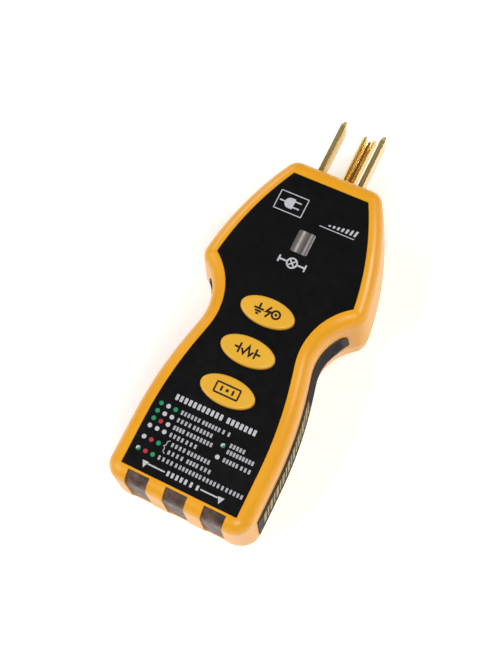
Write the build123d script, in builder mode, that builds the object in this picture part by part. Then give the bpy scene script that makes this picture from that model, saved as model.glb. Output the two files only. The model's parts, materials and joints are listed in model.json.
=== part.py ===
"""Plug-in outlet tester: a hand-held instrument with a three-prong plug at its nose.

X is the width, +Y runs towards the prongs and +Z comes out of the printed face. The origin is
on the flat back, right under the middle button. All lengths are in millimetres.
"""
from build123d import *
from math import cos, radians, sin, tan
import os

os.makedirs("parts", exist_ok=True)

# ---------------------------------------------------------------- housing
face_z = 27.6            # top of the yellow border round the label
parting_z = 9.5          # where the front and rear covers meet, the widest level
wall = 2.0               # housing wall
draft = 4.5              # degrees that the walls spread towards the parting plane
back_draft = 5.0
face_round = 4.0         # radius round the face
back_round = 2.6         # radius round the back
side_border = 5.3        # label edge to side wall, measured at the parting plane
nose_border = 6.2
foot_border = 5.7
nose_corner = 5.3
shoulder_corner = 5.2
foot_corner = 6.2
core_inset = 1.0         # the drawn outline lies this far inside the housing wall
tongue_gap = 0.25
tongue_sheet = 1.2
tongue_rise = 1.6
tongue_root = 1.5
reveal = 0.25            # depth and height of the groove left along the parting line

# ---------------------------------------------------------------- label outline, right half
label_top_y = 53.9
label_top_half = 11.6
label_side_mid = (17.35, 40.0)
waist_centre = (32.6, 6.8)
waist_radius = 20.0
shoulder_angle = 125.3   # where the waist arc meets the head
flank_angle = 13.0       # slope of the flank under the waist
flank_length = 5.0
hip_radius = 115.0
label_foot_y = -41.6
label_sheet = 0.3
label_recess = 0.4
label_gap = 0.1
rear_label_size = (27.0, 36.0)
rear_label_y = 30.0
rear_label_sheet = 0.2
rear_label_recess = 0.3

# ---------------------------------------------------------------- buttons and switches
button_names = ["gfci", "afci", "neutral"]
button_pitch = 12.4
button_half_x = 8.1
button_half_y = 4.1
button_top_z = 28.5
button_round = 0.7
button_gap = 0.15
flange_width = 1.0
flange_high_z = 25.0
flange_low_z = 23.9
stem_radius = 2.6
switch_size = 6.0
switch_height = 3.5
switch_corner = 0.4
plunger_edge = 0.2
plunger_radius = 1.7
plunger_gap = 0.08
plunger_rise = 0.8
plunger_sunk = 1.2
plunger_bore = 2.1

# ---------------------------------------------------------------- board and lamps
board_half = 14.2
board_top = 18.6
board_sheet = 1.6
board_nose_y = 43.0
board_foot_y = -43.2
board_notch = 3.4
lamp_names = ["left", "middle", "right"]
lamp_pitch = 11.4
lamp_width = 6.5
lamp_head_y = -42.4
lamp_inset = 0.5
lamp_led_y = -39.8
led_lift = 0.5
lens_gap = 0.04
lens_lip = 1.0
channel_low_z = 3.6      # the lamp recess runs on down the rear cover to here
window_y = 35.2
window_size = (5.2, 7.0)
window_top_z = 27.8
window_lip = 1.1
baffle_sheet = 1.0
baffle_high_z = 23.4
baffle_half = 15.9
baffle_back_y = -35.6
baffle_front_y = -43.0

# ---------------------------------------------------------------- prongs, 15 A grounded plug
blade_spacing = 12.7
blade_thick = 1.5
blade_wide = 6.35
blade_z = 18.5
blade_tip_y = 78.4
blade_point = 1.1
blade_taper = 1.8
tail_high_z = 21.0
tail_back_y = 40.6
pin_drop = 11.9
pin_radius = 2.4
pin_sheet = 0.8
pin_tip_y = 82.9
pin_mouth = 84.0         # degrees of the pin left open towards the face
pin_flange = 3.4
pin_collar = 2.5         # radius of the pin inside the housing
pin_collar_y = 60.4
stud_radius = 1.2
lead_radius = 0.96
lead_reach = 4.4
lead_bend = 2.6
carrier_half = 9.8
carrier_low_z = 2.7
carrier_high_z = 23.4
carrier_front_y = 56.7
carrier_back_y = 49.0
retainer_back_y = 46.6
shoulder_thick = 1.6
shoulder_rise = 1.4
prong_gap = 0.06
retainer_spots = [(-7.6, 7.4), (7.6, 7.4)]

# ---------------------------------------------------------------- rubber side grips
grip_low_z = 9.9
grip_high_z = 19.4
grip_foot_y = -41.6
grip_nose_y = 17.6
grip_sweep_y = 14.0      # where the lower edge starts to rise towards the nose
grip_sweep_z = 12.6
grip_slant = 1.8
grip_proud = 0.3
grip_depth = 0.9
grip_gap = 0.04
grip_nose_round = 1.8
grip_sweep_round = 5.0
grip_foot_round = 1.2

# ---------------------------------------------------------------- fasteners
post_spots = [(-18.6, 27.0), (18.6, 27.0), (-15.8, -32.0), (15.8, -32.0)]
post_radius = 3.0
post_hole_depth = 10.0
boss_radius = 3.9
head_seat_z = 2.4
head_recess_radius = 3.05
standoff_spots = [(-11.6, 22.6), (11.6, 22.6), (-11.6, -23.6), (11.6, -23.6)]
standoff_radius = 2.2
standoff_hole_depth = 5.4
thread_gap = 0.05
bolt_clearance = 0.2
housing_thread = 1.45
housing_head = 2.75
housing_head_rise = 1.8
housing_screw_length = 16.0
board_thread = 1.1
board_head = 2.0
board_head_rise = 1.4
board_screw_length = 6.6
retainer_screw_length = 9.0

# ---------------------------------------------------------------- parts on the board
led_radius = 2.5
led_top_z = 24.7
test_led_radius = 1.5
test_led_top_z = 23.4
led_rim = 0.4
led_rim_rise = 1.0
led_lead = 0.5
lead_pitch = 2.54
filter_y = 31.5
filter_size = (19.0, 8.0, 12.6)
case_round = 0.8
crown_round = 0.5
varistor_spot = (-7.4, 16.8, 10.4)
varistor_radius = 5.2
varistor_thick = 4.4
varistor_round = 1.6
varistor_lead_pitch = 5.0
varistor_lead_radius = 0.4
varistor_lead_drop = 4.5
fuse_spot = (8.4, 11.2, 12.6)
fuse_length = 20.0
fuse_radius = 2.6
fuse_neck_radius = 2.4
fuse_cap = 5.0
clip_radius = 3.0
clip_bore = 2.62
clip_width = 3.2
clip_pitch = 15.0
clip_foot = 4.0
clip_foot_drop = 1.6
clip_sheet = 0.5
clip_mouth = 2.4
resistor_spot = (-7.6, -3.0)
resistor_size = (9.4, 24.0, 9.4)
resistor_lift = 0.8
resistor_foot = (5.0, 2.0, 1.2)
triac_spot = (8.6, -10.0)
triac_size = (10.2, 9.0, 4.4)
triac_tab = (10.2, 6.4, 1.3)
triac_hole_radius = 1.8
triac_hole_y = -2.4
triac_lead = (0.9, 4.0, 0.5)
reservoir_spot = (-4.5, -30.0)
reservoir_radius = 4.0
reservoir_height = 11.5
chip_y = 25.0
chip_size = (7.5, 11.5, 2.2)
chip_lift = 0.2
chip_lead = (1.6, 0.45, 0.9)
chip_lead_x = 4.3
chip_lead_count = 8

label_floor_z = face_z - label_recess
ceiling_z = label_floor_z - wall
board_low = board_top - board_sheet
pin_z = blade_z - pin_drop
switch_top = board_top + switch_height
plunger_top = switch_top + plunger_rise
lamp_spots = [-lamp_pitch, 0, lamp_pitch]
lamp_low_z = parting_z
button_spots = [button_pitch, 0, -button_pitch]
post_foot_z = parting_z
far = 60.0               # longer than anything a cutter has to pass
upward = (Align.CENTER, Align.CENTER, Align.MIN)
downward = (Align.CENTER, Align.CENTER, Align.MAX)


def finish(piece, name):
    """Label a finished piece and write its STEP file."""
    piece.part.label = name
    export_step(piece.part, f"parts/{name}.step")


# ---------------------------------------------------------------- outlines
def half_edge(top_half, top_y, foot_y):
    """Right-hand half of the face outline, from the foot centre round to the nose centre."""
    arc_end = 180 + flank_angle
    waist = CenterArc(waist_centre, waist_radius, arc_end, shoulder_angle - arc_end)
    run = -1 * (waist % 0)
    flank = Line(waist @ 0, waist @ 0 + run * flank_length)
    hip = JernArc(flank @ 1, run, hip_radius, -flank_angle)
    Polyline((0, foot_y), ((hip @ 1).X, foot_y), hip @ 1)
    nose = Line((top_half, top_y), (0, top_y))
    ThreePointArc(waist @ 1, label_side_mid, nose @ 0)


with BuildSketch() as label_face:
    with BuildLine():
        half_edge(label_top_half, label_top_y, label_foot_y)
        mirror(about=Plane.YZ)
    make_face()

extra_nose = nose_border - side_border
extra_foot = foot_border - side_border
with BuildSketch() as housing_core:
    with BuildLine():
        half_edge(label_top_half - extra_nose / 2, label_top_y + extra_nose, label_foot_y - extra_foot)
        mirror(about=Plane.YZ)
    make_face()
    offset(amount=side_border - core_inset, kind=Kind.INTERSECTION)
    fillet(housing_core.vertices().group_by(Axis.Y)[-1], nose_corner - core_inset)
    fillet(housing_core.vertices().group_by(Axis.X)[-1], shoulder_corner - core_inset)
    fillet(housing_core.vertices().group_by(Axis.X)[0], shoulder_corner - core_inset)
    fillet(housing_core.vertices().group_by(Axis.Y)[0], foot_corner - core_inset)


def outline(skin):
    """Housing outline at the parting plane, moved out by skin, or in where skin is negative."""
    with BuildSketch() as face:
        add(housing_core.sketch)
        offset(amount=core_inset + skin)
        Rectangle(far, 4 * far, align=(Align.MIN, Align.CENTER), mode=Mode.INTERSECT)
        mirror(about=Plane.YZ)
    return face.sketch


def drafted(skin, end_z, angle):
    """Solid on the outline from the parting plane to end_z, walls leaning in by angle."""
    lean = abs(end_z - parting_z) * tan(radians(angle))
    with BuildPart() as body:
        with BuildSketch(Plane.XY.offset(parting_z)):
            add(outline(skin))
        with BuildSketch(Plane.XY.offset(end_z)):
            add(outline(skin - lean))
        loft(ruled=True)
    return body.part


def block(skin, high_z, round_over):
    """Front half of the housing form up to high_z, with a rounded top edge."""
    with BuildPart() as body:
        add(drafted(skin, high_z, draft))
        fillet(body.faces().sort_by(Axis.Z)[-1].edges(), round_over)
    return body.part


def back_block(skin, low_z):
    """Rear half of the housing form down to low_z."""
    return drafted(skin, low_z, back_draft)


def button_ellipse(grow):
    Ellipse(button_half_x + grow, button_half_y + grow)


# ---------------------------------------------------------------- side grips
def side_strip(proud, depth, gap):
    """Band of the right-hand wall where the grip sits, shrunk by gap all round."""
    inner = block(-depth, face_z, face_round)
    with BuildPart() as strip:
        add(block(proud, face_z, face_round))
        add(inner, mode=Mode.SUBTRACT)
        with BuildSketch(Plane.YZ) as side:
            with BuildLine():
                Polyline(
                    (grip_foot_y, grip_low_z),
                    (grip_sweep_y, grip_low_z),
                    (grip_nose_y, grip_sweep_z),
                    (grip_nose_y, grip_high_z),
                    (grip_foot_y + grip_slant, grip_high_z),
                    close=True,
                )
            make_face()
            corners = side.vertices().sort_by(Axis.X)
            fillet(corners[-2:], grip_nose_round)
            fillet(corners[2], grip_sweep_round)
            fillet(corners[:2], grip_foot_round)
            if gap:
                offset(amount=-gap)
        extrude(amount=far, mode=Mode.INTERSECT)
    return strip.part


grip_pocket = side_strip(grip_proud, grip_depth, 0)

with BuildPart() as right_grip:
    add(side_strip(grip_proud, grip_depth - grip_gap, grip_gap))
finish(right_grip, "right_grip")

with BuildPart() as left_grip:
    add(mirror(right_grip.part, about=Plane.YZ, mode=Mode.PRIVATE))
finish(left_grip, "left_grip")

# ---------------------------------------------------------------- front cover
with BuildPart() as front_cover:
    add(block(0, face_z, face_round))
    add(block(-wall, ceiling_z, face_round - wall), mode=Mode.SUBTRACT)
    # screw posts and board standoffs hang from the ceiling
    with BuildSketch(Plane.XY.offset(post_foot_z)):
        with Locations(*post_spots):
            Circle(post_radius)
    extrude(amount=ceiling_z + label_recess - post_foot_z)
    with BuildSketch(Plane.XY.offset(board_top)):
        with Locations(*standoff_spots):
            Circle(standoff_radius)
    extrude(amount=ceiling_z + label_recess - board_top)
    with BuildSketch(Plane.XY.offset(post_foot_z)):
        with Locations(*post_spots):
            Circle(housing_thread + thread_gap)
    extrude(amount=post_hole_depth, mode=Mode.SUBTRACT)
    with BuildSketch(Plane.XY.offset(board_top)):
        with Locations(*standoff_spots):
            Circle(board_thread + thread_gap)
    extrude(amount=standoff_hole_depth, mode=Mode.SUBTRACT)
    # seat of the label, then the apertures in it
    with BuildSketch(Plane.XY.offset(label_floor_z)):
        add(label_face.sketch)
        offset(amount=label_gap)
    extrude(amount=far, mode=Mode.SUBTRACT)
    with BuildSketch(Plane.XY.offset(ceiling_z - label_recess)):
        for y in button_spots:
            with Locations((0, y)):
                button_ellipse(button_gap)
        with Locations((0, window_y)):
            RectangleRounded(window_size[0], window_size[1], button_gap * 4)
    extrude(amount=far, mode=Mode.SUBTRACT)
    # lamp windows wrap from the face over the foot
    with Locations(*[(x, lamp_head_y, lamp_low_z) for x in lamp_spots]):
        Box(lamp_width, far, far, align=(Align.CENTER, Align.MAX, Align.MIN), mode=Mode.SUBTRACT)
    # seats of the grips
    add(grip_pocket, mode=Mode.SUBTRACT)
    add(mirror(grip_pocket, about=Plane.YZ, mode=Mode.PRIVATE), mode=Mode.SUBTRACT)
    # prong holes in the nose
    with BuildSketch(Plane.XZ.offset(-carrier_back_y)):
        with Locations((-blade_spacing / 2, blade_z), (blade_spacing / 2, blade_z)):
            Rectangle(blade_thick + 2 * button_gap, blade_wide + 2 * button_gap)
    extrude(amount=-far, mode=Mode.SUBTRACT)
finish(front_cover, "front_cover")

# ---------------------------------------------------------------- rear cover
with BuildPart() as rear_cover:
    add(back_block(0, 0))
    fillet(rear_cover.faces().sort_by(Axis.Z)[0].edges(), back_round)
    add(back_block(-wall, wall), mode=Mode.SUBTRACT)
    # the lamp recesses run on as channels in the foot wall
    with BuildPart(mode=Mode.PRIVATE) as channels:
        with Locations(*[(x, lamp_head_y, channel_low_z) for x in lamp_spots]):
            Box(lamp_width, far, far, align=(Align.CENTER, Align.MAX, Align.MIN))
        add(back_block(-lamp_inset, 0), mode=Mode.SUBTRACT)
    add(channels.part, mode=Mode.SUBTRACT)
    # shadow groove along the parting line
    with BuildSketch(Plane.XY.offset(parting_z)):
        add(outline(reveal))
        add(outline(-reveal), mode=Mode.SUBTRACT)
    extrude(amount=-reveal, mode=Mode.SUBTRACT)
    # tongue that locates in the front cover, cut back where the plug block stands
    with BuildSketch(Plane.XY.offset(parting_z - tongue_root)):
        add(outline(tongue_gap - wall))
        add(outline(-wall - tongue_gap - tongue_sheet), mode=Mode.SUBTRACT)
    extrude(amount=tongue_root)
    with BuildSketch(Plane.XY.offset(parting_z)):
        add(outline(-wall - tongue_gap))
        add(outline(-wall - tongue_gap - tongue_sheet), mode=Mode.SUBTRACT)
    extrude(amount=tongue_rise)
    with Locations((0, carrier_back_y, wall)):
        Box(2 * carrier_half + lens_lip, carrier_front_y - carrier_back_y + tongue_gap, far,
            align=(Align.CENTER, Align.MIN, Align.MIN), mode=Mode.SUBTRACT)
    # notch for the ground pin, closed above by the front cover
    with BuildSketch(Plane.XZ.offset(-carrier_front_y)):
        with Locations((0, pin_z)):
            Circle(pin_collar + button_gap)
            Rectangle(2 * (pin_collar + button_gap), far, align=(Align.CENTER, Align.MIN))
    extrude(amount=-far, mode=Mode.SUBTRACT)
    # screw bosses with their head recesses
    with BuildSketch(Plane.XY.offset(wall - tongue_gap)):
        with Locations(*post_spots):
            Circle(boss_radius)
    extrude(amount=post_foot_z - wall + tongue_gap)
    with BuildSketch():
        with Locations(*post_spots):
            Circle(housing_thread + bolt_clearance)
    extrude(amount=far, mode=Mode.SUBTRACT)
    with BuildSketch():
        with Locations(*post_spots):
            Circle(head_recess_radius)
    extrude(amount=head_seat_z, mode=Mode.SUBTRACT)
    # seat of the rating label
    with BuildSketch():
        with Locations((0, rear_label_y)):
            RectangleRounded(rear_label_size[0], rear_label_size[1], bolt_clearance * 10)
    extrude(amount=rear_label_recess, mode=Mode.SUBTRACT)
finish(rear_cover, "rear_cover")

# ---------------------------------------------------------------- labels
with BuildPart() as face_label:
    with BuildSketch(Plane.XY.offset(label_floor_z)):
        add(label_face.sketch)
        for y in button_spots:
            with Locations((0, y)):
                Ellipse(button_half_x + button_gap, button_half_y + button_gap, mode=Mode.SUBTRACT)
        with Locations((0, window_y)):
            RectangleRounded(window_size[0], window_size[1], button_gap * 4, mode=Mode.SUBTRACT)
    extrude(amount=label_sheet)
finish(face_label, "face_label")

with BuildPart() as rear_label:
    with BuildSketch(Plane.XY.offset(rear_label_recess)):
        with Locations((0, rear_label_y)):
            RectangleRounded(
                rear_label_size[0] - bolt_clearance, rear_label_size[1] - bolt_clearance, bolt_clearance * 9
            )
    extrude(amount=-rear_label_sheet)
finish(rear_label, "rear_label")

# ---------------------------------------------------------------- buttons, switches, plungers
for name, y in zip(button_names, button_spots):
    with BuildPart() as button:
        with BuildSketch(Plane.XY.offset(flange_low_z)):
            with Locations((0, y)):
                button_ellipse(flange_width)
        extrude(amount=flange_high_z - flange_low_z)
        with BuildSketch(Plane.XY.offset(flange_high_z)):
            with Locations((0, y)):
                button_ellipse(0)
        extrude(amount=button_top_z - flange_high_z)
        fillet(button.faces().sort_by(Axis.Z)[-1].edges(), button_round)
        with BuildSketch(Plane.XY.offset(plunger_top)):
            with Locations((0, y)):
                Circle(stem_radius)
        extrude(amount=flange_low_z - plunger_top)
    finish(button, f"{name}_button")

    with BuildPart() as switch:
        with BuildSketch(Plane.XY.offset(board_top)):
            with Locations((0, y)):
                RectangleRounded(switch_size, switch_size, switch_corner)
        extrude(amount=switch_height)
        with BuildSketch(Plane.XY.offset(switch_top)):
            with Locations((0, y)):
                Circle(plunger_radius + plunger_gap)
        extrude(amount=-plunger_bore, mode=Mode.SUBTRACT)
    finish(switch, f"{name}_switch")

    with BuildPart() as plunger:
        with BuildSketch(Plane.XY.offset(switch_top - plunger_sunk)):
            with Locations((0, y)):
                Circle(plunger_radius)
        extrude(amount=plunger_sunk + plunger_rise)
        chamfer(plunger.edges().filter_by(GeomType.CIRCLE).sort_by(Axis.Z)[-1], plunger_edge)
    finish(plunger, f"{name}_plunger")

# ---------------------------------------------------------------- lenses
with BuildPart() as test_lens:
    with BuildSketch(Plane.XY.offset(flange_low_z)):
        with Locations((0, window_y)):
            RectangleRounded(window_size[0] + 2 * window_lip, window_size[1] + 2 * window_lip, window_lip)
    extrude(amount=ceiling_z - flange_low_z)
    with BuildSketch(Plane.XY.offset(ceiling_z)):
        with Locations((0, window_y)):
            RectangleRounded(window_size[0] - 2 * lens_gap, window_size[1] - 2 * lens_gap, button_gap * 4)
    extrude(amount=window_top_z - ceiling_z)
    fillet(test_lens.faces().sort_by(Axis.Z)[-1].edges(), window_lip / 4)
finish(test_lens, "test_lens")

lens_skin = block(-lamp_inset, face_z - lamp_inset, face_round)
lens_core = block(-wall - lens_gap, ceiling_z, face_round - wall)
lip_core = block(-wall - lens_gap - lens_lip, ceiling_z - lens_lip, face_round - wall)
for name, x in zip(lamp_names, lamp_spots):
    with BuildPart() as lens_window:
        with Locations((x, lamp_head_y - lens_gap, lamp_low_z + lens_gap)):
            Box(lamp_width - 2 * lens_gap, far, far, align=(Align.CENTER, Align.MAX, Align.MIN))
        add(lens_skin, mode=Mode.INTERSECT)
        add(lens_core, mode=Mode.SUBTRACT)
    with BuildPart() as lamp_lens:
        with Locations((x, lamp_head_y - lens_lip, lamp_low_z + tongue_rise + lens_gap)):
            Box(lamp_width + 2 * lens_lip, far, baffle_high_z - lamp_low_z - tongue_rise,
                align=(Align.CENTER, Align.MAX, Align.MIN))
        add(lens_core, mode=Mode.INTERSECT)
        add(lip_core, mode=Mode.SUBTRACT)
        add(lens_window.part)
    finish(lamp_lens, f"{name}_lamp_lens")

# ---------------------------------------------------------------- lamps on the board
led_foot = board_top + led_lift
led_plan = [(name, x, lamp_led_y, led_radius, led_top_z) for name, x in zip(lamp_names, lamp_spots)]
led_plan.append(("test", 0, window_y, test_led_radius, test_led_top_z))
for name, x, y, radius, top in led_plan:
    with BuildPart() as led:
        with Locations((x, y, led_foot)):
            Cylinder(radius + led_rim, led_rim_rise, align=upward)
            Cylinder(radius, top - radius - led_foot, align=upward)
        with Locations((x, y, top - radius)):
            Sphere(radius)
        with Locations(*[(x + side * lead_pitch / 2, y, board_top) for side in (-1, 1)]):
            Box(led_lead, led_lead, led_lift, align=upward)
    finish(led, f"{name}_led")

with BuildPart() as lamp_baffle:
    with BuildSketch(Plane.XY.offset(board_top)):
        comb_x = [-baffle_half, -lamp_pitch / 2, lamp_pitch / 2, baffle_half]
        with Locations((0, baffle_back_y)):
            Rectangle(2 * baffle_half + baffle_sheet, baffle_sheet)
        with Locations(*[(x, baffle_back_y) for x in comb_x]):
            Rectangle(baffle_sheet, baffle_back_y - baffle_front_y, align=(Align.CENTER, Align.MAX))
    extrude(amount=baffle_high_z - board_top)
finish(lamp_baffle, "lamp_baffle")

# ---------------------------------------------------------------- circuit board
with BuildPart() as circuit_board:
    board_mid = (board_nose_y + board_foot_y) / 2
    with BuildSketch(Plane.XY.offset(board_low)):
        with Locations((0, board_mid)):
            RectangleRounded(2 * board_half, board_nose_y - board_foot_y, lens_lip)
        with Locations(*post_spots[2:]):
            Circle(board_notch, mode=Mode.SUBTRACT)
        with Locations(*standoff_spots):
            Circle(board_thread + bolt_clearance, mode=Mode.SUBTRACT)
    extrude(amount=board_sheet)
finish(circuit_board, "circuit_board")

# ---------------------------------------------------------------- prongs and the block that holds them
blade_spots = {"neutral": -blade_spacing / 2, "hot": blade_spacing / 2}
carrier_rear = Plane.XZ.offset(-carrier_back_y)
retainer_plane = Plane((0, retainer_back_y, 0), x_dir=(-1, 0, 0), z_dir=(0, 1, 0))
carrier_mid_z = (carrier_low_z + carrier_high_z) / 2
carrier_rise = carrier_high_z - carrier_low_z

for name, x in blade_spots.items():
    half_wide = blade_wide / 2
    with BuildPart() as blade:
        with BuildSketch(Plane.YZ.offset(x)):
            Polygon(
                (carrier_back_y, blade_z - half_wide),
                (blade_tip_y - blade_taper, blade_z - half_wide),
                (blade_tip_y, blade_z - half_wide + blade_point),
                (blade_tip_y, blade_z + half_wide - blade_point),
                (blade_tip_y - blade_taper, blade_z + half_wide),
                (carrier_back_y, blade_z + half_wide),
                align=None,
            )
        extrude(amount=blade_thick / 2, both=True)
        with BuildSketch(Plane.XY.offset(blade_z)):
            Polygon(
                (x - blade_thick / 2, carrier_back_y),
                (x + blade_thick / 2, carrier_back_y),
                (x + blade_thick / 2, blade_tip_y - blade_taper),
                (x + blade_thick / 4, blade_tip_y),
                (x - blade_thick / 4, blade_tip_y),
                (x - blade_thick / 2, blade_tip_y - blade_taper),
                align=None,
            )
        extrude(amount=blade_wide, both=True, mode=Mode.INTERSECT)
        with Locations((x, carrier_back_y, blade_z)):
            Box(blade_thick + shoulder_rise, shoulder_thick, blade_wide + 2 * shoulder_rise,
                align=(Align.CENTER, Align.MIN, Align.CENTER))
        with Locations((x, carrier_back_y, board_top)):
            Box(blade_thick, carrier_back_y - tail_back_y, tail_high_z - board_top,
                align=(Align.CENTER, Align.MAX, Align.MIN))
    finish(blade, f"{name}_blade")


def rolled_section(outer):
    """Rolled-sheet section of the ground pin, open towards the face."""
    mouth_x = 2 * pin_radius * sin(radians(pin_mouth / 2))
    mouth_z = pin_z + 2 * pin_radius * cos(radians(pin_mouth / 2))
    with Locations((0, pin_z)):
        Circle(outer)
        Circle(pin_radius - pin_sheet, mode=Mode.SUBTRACT)
    Polygon((0, pin_z), (-mouth_x, mouth_z), (mouth_x, mouth_z), align=None, mode=Mode.SUBTRACT)


with BuildPart() as ground_pin:
    with BuildSketch(carrier_rear):
        rolled_section(pin_radius)
    extrude(amount=-(pin_tip_y - carrier_back_y))
    tip = ground_pin.faces().sort_by(Axis.Y)[-1]
    chamfer(tip.edges().filter_by(GeomType.CIRCLE).sort_by(SortBy.RADIUS)[-1], pin_sheet * 0.8)
    with BuildSketch(carrier_rear):
        rolled_section(pin_collar)
    extrude(amount=-(pin_collar_y - carrier_back_y))
    with BuildSketch(carrier_rear):
        with Locations((0, pin_z)):
            Circle(pin_flange)
    extrude(amount=-shoulder_thick)
    with BuildSketch(carrier_rear):
        with Locations((0, pin_z)):
            Circle(stud_radius)
    extrude(amount=carrier_back_y - retainer_back_y + stud_radius)
finish(ground_pin, "ground_pin")

with BuildPart() as prong_carrier:
    with BuildSketch(carrier_rear):
        with Locations((0, carrier_mid_z)):
            RectangleRounded(2 * carrier_half, carrier_rise, lens_lip)
        with Locations(*retainer_spots):
            Circle(board_thread + thread_gap, mode=Mode.SUBTRACT)
        with Locations(*[(x, blade_z) for x in blade_spots.values()]):
            Rectangle(blade_thick + 2 * prong_gap, blade_wide + 2 * prong_gap, mode=Mode.SUBTRACT)
        with Locations((0, pin_z)):
            Circle(pin_collar + prong_gap, mode=Mode.SUBTRACT)
    extrude(amount=-(carrier_front_y - carrier_back_y))
    with BuildSketch(carrier_rear):
        with Locations(*[(x, blade_z) for x in blade_spots.values()]):
            Rectangle(blade_thick + shoulder_rise + 2 * prong_gap,
                      blade_wide + 2 * shoulder_rise + 2 * prong_gap)
        with Locations((0, pin_z)):
            Circle(pin_flange + prong_gap)
    extrude(amount=-shoulder_thick, mode=Mode.SUBTRACT)
finish(prong_carrier, "prong_carrier")

with BuildPart() as prong_retainer:
    with BuildSketch(carrier_rear):
        with Locations((0, carrier_mid_z)):
            RectangleRounded(2 * carrier_half, carrier_rise, lens_lip)
        with Locations(*retainer_spots):
            Circle(board_thread + bolt_clearance, mode=Mode.SUBTRACT)
        tail_mid = (board_top + tail_high_z) / 2
        with Locations(*[(x, tail_mid) for x in blade_spots.values()]):
            Rectangle(blade_thick + 2 * prong_gap, tail_high_z - board_top + 2 * prong_gap,
                      mode=Mode.SUBTRACT)
        with Locations((0, pin_z)):
            Circle(stud_radius + prong_gap, mode=Mode.SUBTRACT)
    extrude(amount=carrier_back_y - retainer_back_y)
finish(prong_retainer, "prong_retainer")

with BuildPart() as ground_lead:
    stud_end_y = retainer_back_y - stud_radius
    lead_drop_y = stud_end_y - lead_reach
    with BuildLine():
        FilletPolyline(
            (0, stud_end_y, pin_z),
            (0, lead_drop_y, pin_z),
            (0, lead_drop_y, board_low),
            radius=lead_bend,
        )
    with BuildSketch(Plane(origin=(0, stud_end_y, pin_z), z_dir=(0, -1, 0))):
        Circle(lead_radius)
    sweep()
finish(ground_lead, "ground_lead")

# ---------------------------------------------------------------- components on the board
with BuildPart() as filter_capacitor:
    with Locations((0, filter_y, board_low)):
        Box(*filter_size, align=downward)
    fillet(filter_capacitor.edges().filter_by(Axis.Z), case_round)
    fillet(filter_capacitor.faces().sort_by(Axis.Z)[0].edges(), crown_round)
finish(filter_capacitor, "filter_capacitor")

with BuildPart() as varistor:
    with BuildSketch(Plane.XZ.offset(-varistor_spot[1])):
        with Locations((varistor_spot[0], varistor_spot[2])):
            Circle(varistor_radius)
    extrude(amount=varistor_thick / 2, both=True)
    fillet(varistor.edges(), varistor_round)
    lead_x = [varistor_spot[0] + side * varistor_lead_pitch / 2 for side in (-1, 1)]
    with Locations(*[(x, varistor_spot[1], board_low) for x in lead_x]):
        Cylinder(varistor_lead_radius, varistor_lead_drop, align=downward)
finish(varistor, "varistor")

fuse_plane = Plane.XZ.offset(-fuse_spot[1])
with BuildPart() as fuse:
    with BuildSketch(fuse_plane):
        with Locations((fuse_spot[0], fuse_spot[2])):
            Circle(fuse_radius)
    extrude(amount=fuse_length / 2, both=True)
    with BuildSketch(fuse_plane):
        with Locations((fuse_spot[0], fuse_spot[2])):
            Circle(fuse_radius)
            Circle(fuse_neck_radius, mode=Mode.SUBTRACT)
    extrude(amount=fuse_length / 2 - fuse_cap, both=True, mode=Mode.SUBTRACT)
finish(fuse, "fuse")

with BuildPart() as fuse_clips:
    for side in (-1, 1):
        with BuildSketch(Plane.XZ.offset(-fuse_spot[1] - side * clip_pitch / 2)):
            with Locations((fuse_spot[0], fuse_spot[2])):
                Circle(clip_radius)
                Circle(clip_bore, mode=Mode.SUBTRACT)
            with Locations((fuse_spot[0], fuse_spot[2] - fuse_radius)):
                Rectangle(clip_foot, clip_mouth, mode=Mode.SUBTRACT)
            with Locations((fuse_spot[0], board_low)):
                Rectangle(clip_foot, clip_foot_drop, align=(Align.CENTER, Align.MAX))
                Rectangle(clip_foot - 2 * clip_sheet, clip_foot_drop - clip_sheet,
                          align=(Align.CENTER, Align.MAX), mode=Mode.SUBTRACT)
        extrude(amount=clip_width / 2, both=True)
finish(fuse_clips, "fuse_clips")

with BuildPart() as load_resistor:
    with Locations((*resistor_spot, board_low - resistor_lift)):
        Box(*resistor_size, align=downward)
    fillet(load_resistor.edges().filter_by(Axis.Y), case_round)
    foot_y = [resistor_spot[1] + side * (resistor_size[1] / 2 - resistor_foot[1]) for side in (-1, 1)]
    with Locations(*[(resistor_spot[0], y, board_low) for y in foot_y]):
        Box(*resistor_foot, align=downward)
finish(load_resistor, "load_resistor")

with BuildPart() as triac:
    front_y = triac_spot[1] + triac_size[1] / 2
    rear_y = triac_spot[1] - triac_size[1] / 2
    with Locations((*triac_spot, board_low)):
        Box(*triac_size, align=downward)
    with Locations((triac_spot[0], front_y, board_low)):
        Box(*triac_tab, align=(Align.CENTER, Align.MIN, Align.MAX))
    with Locations((triac_spot[0], triac_hole_y, board_low)):
        Cylinder(triac_hole_radius, 2 * triac_size[2], mode=Mode.SUBTRACT)
    with Locations(*[(triac_spot[0] + k * lead_pitch, rear_y, board_low) for k in (-1, 0, 1)]):
        Box(*triac_lead, align=(Align.CENTER, Align.MAX, Align.MAX))
finish(triac, "triac")

with BuildPart() as reservoir_capacitor:
    with Locations((*reservoir_spot, board_low)):
        Cylinder(reservoir_radius, reservoir_height, align=downward)
    fillet(reservoir_capacitor.faces().sort_by(Axis.Z)[0].edges(), crown_round)
finish(reservoir_capacitor, "reservoir_capacitor")

with BuildPart() as microcontroller:
    with Locations((0, chip_y, board_top + chip_lift)):
        Box(*chip_size, align=upward)
    for side in (-1, 1):
        with Locations((side * chip_lead_x, chip_y, board_top)):
            with GridLocations(0, lead_pitch / 2, 1, chip_lead_count):
                Box(*chip_lead, align=upward)
finish(microcontroller, "microcontroller")

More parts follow.
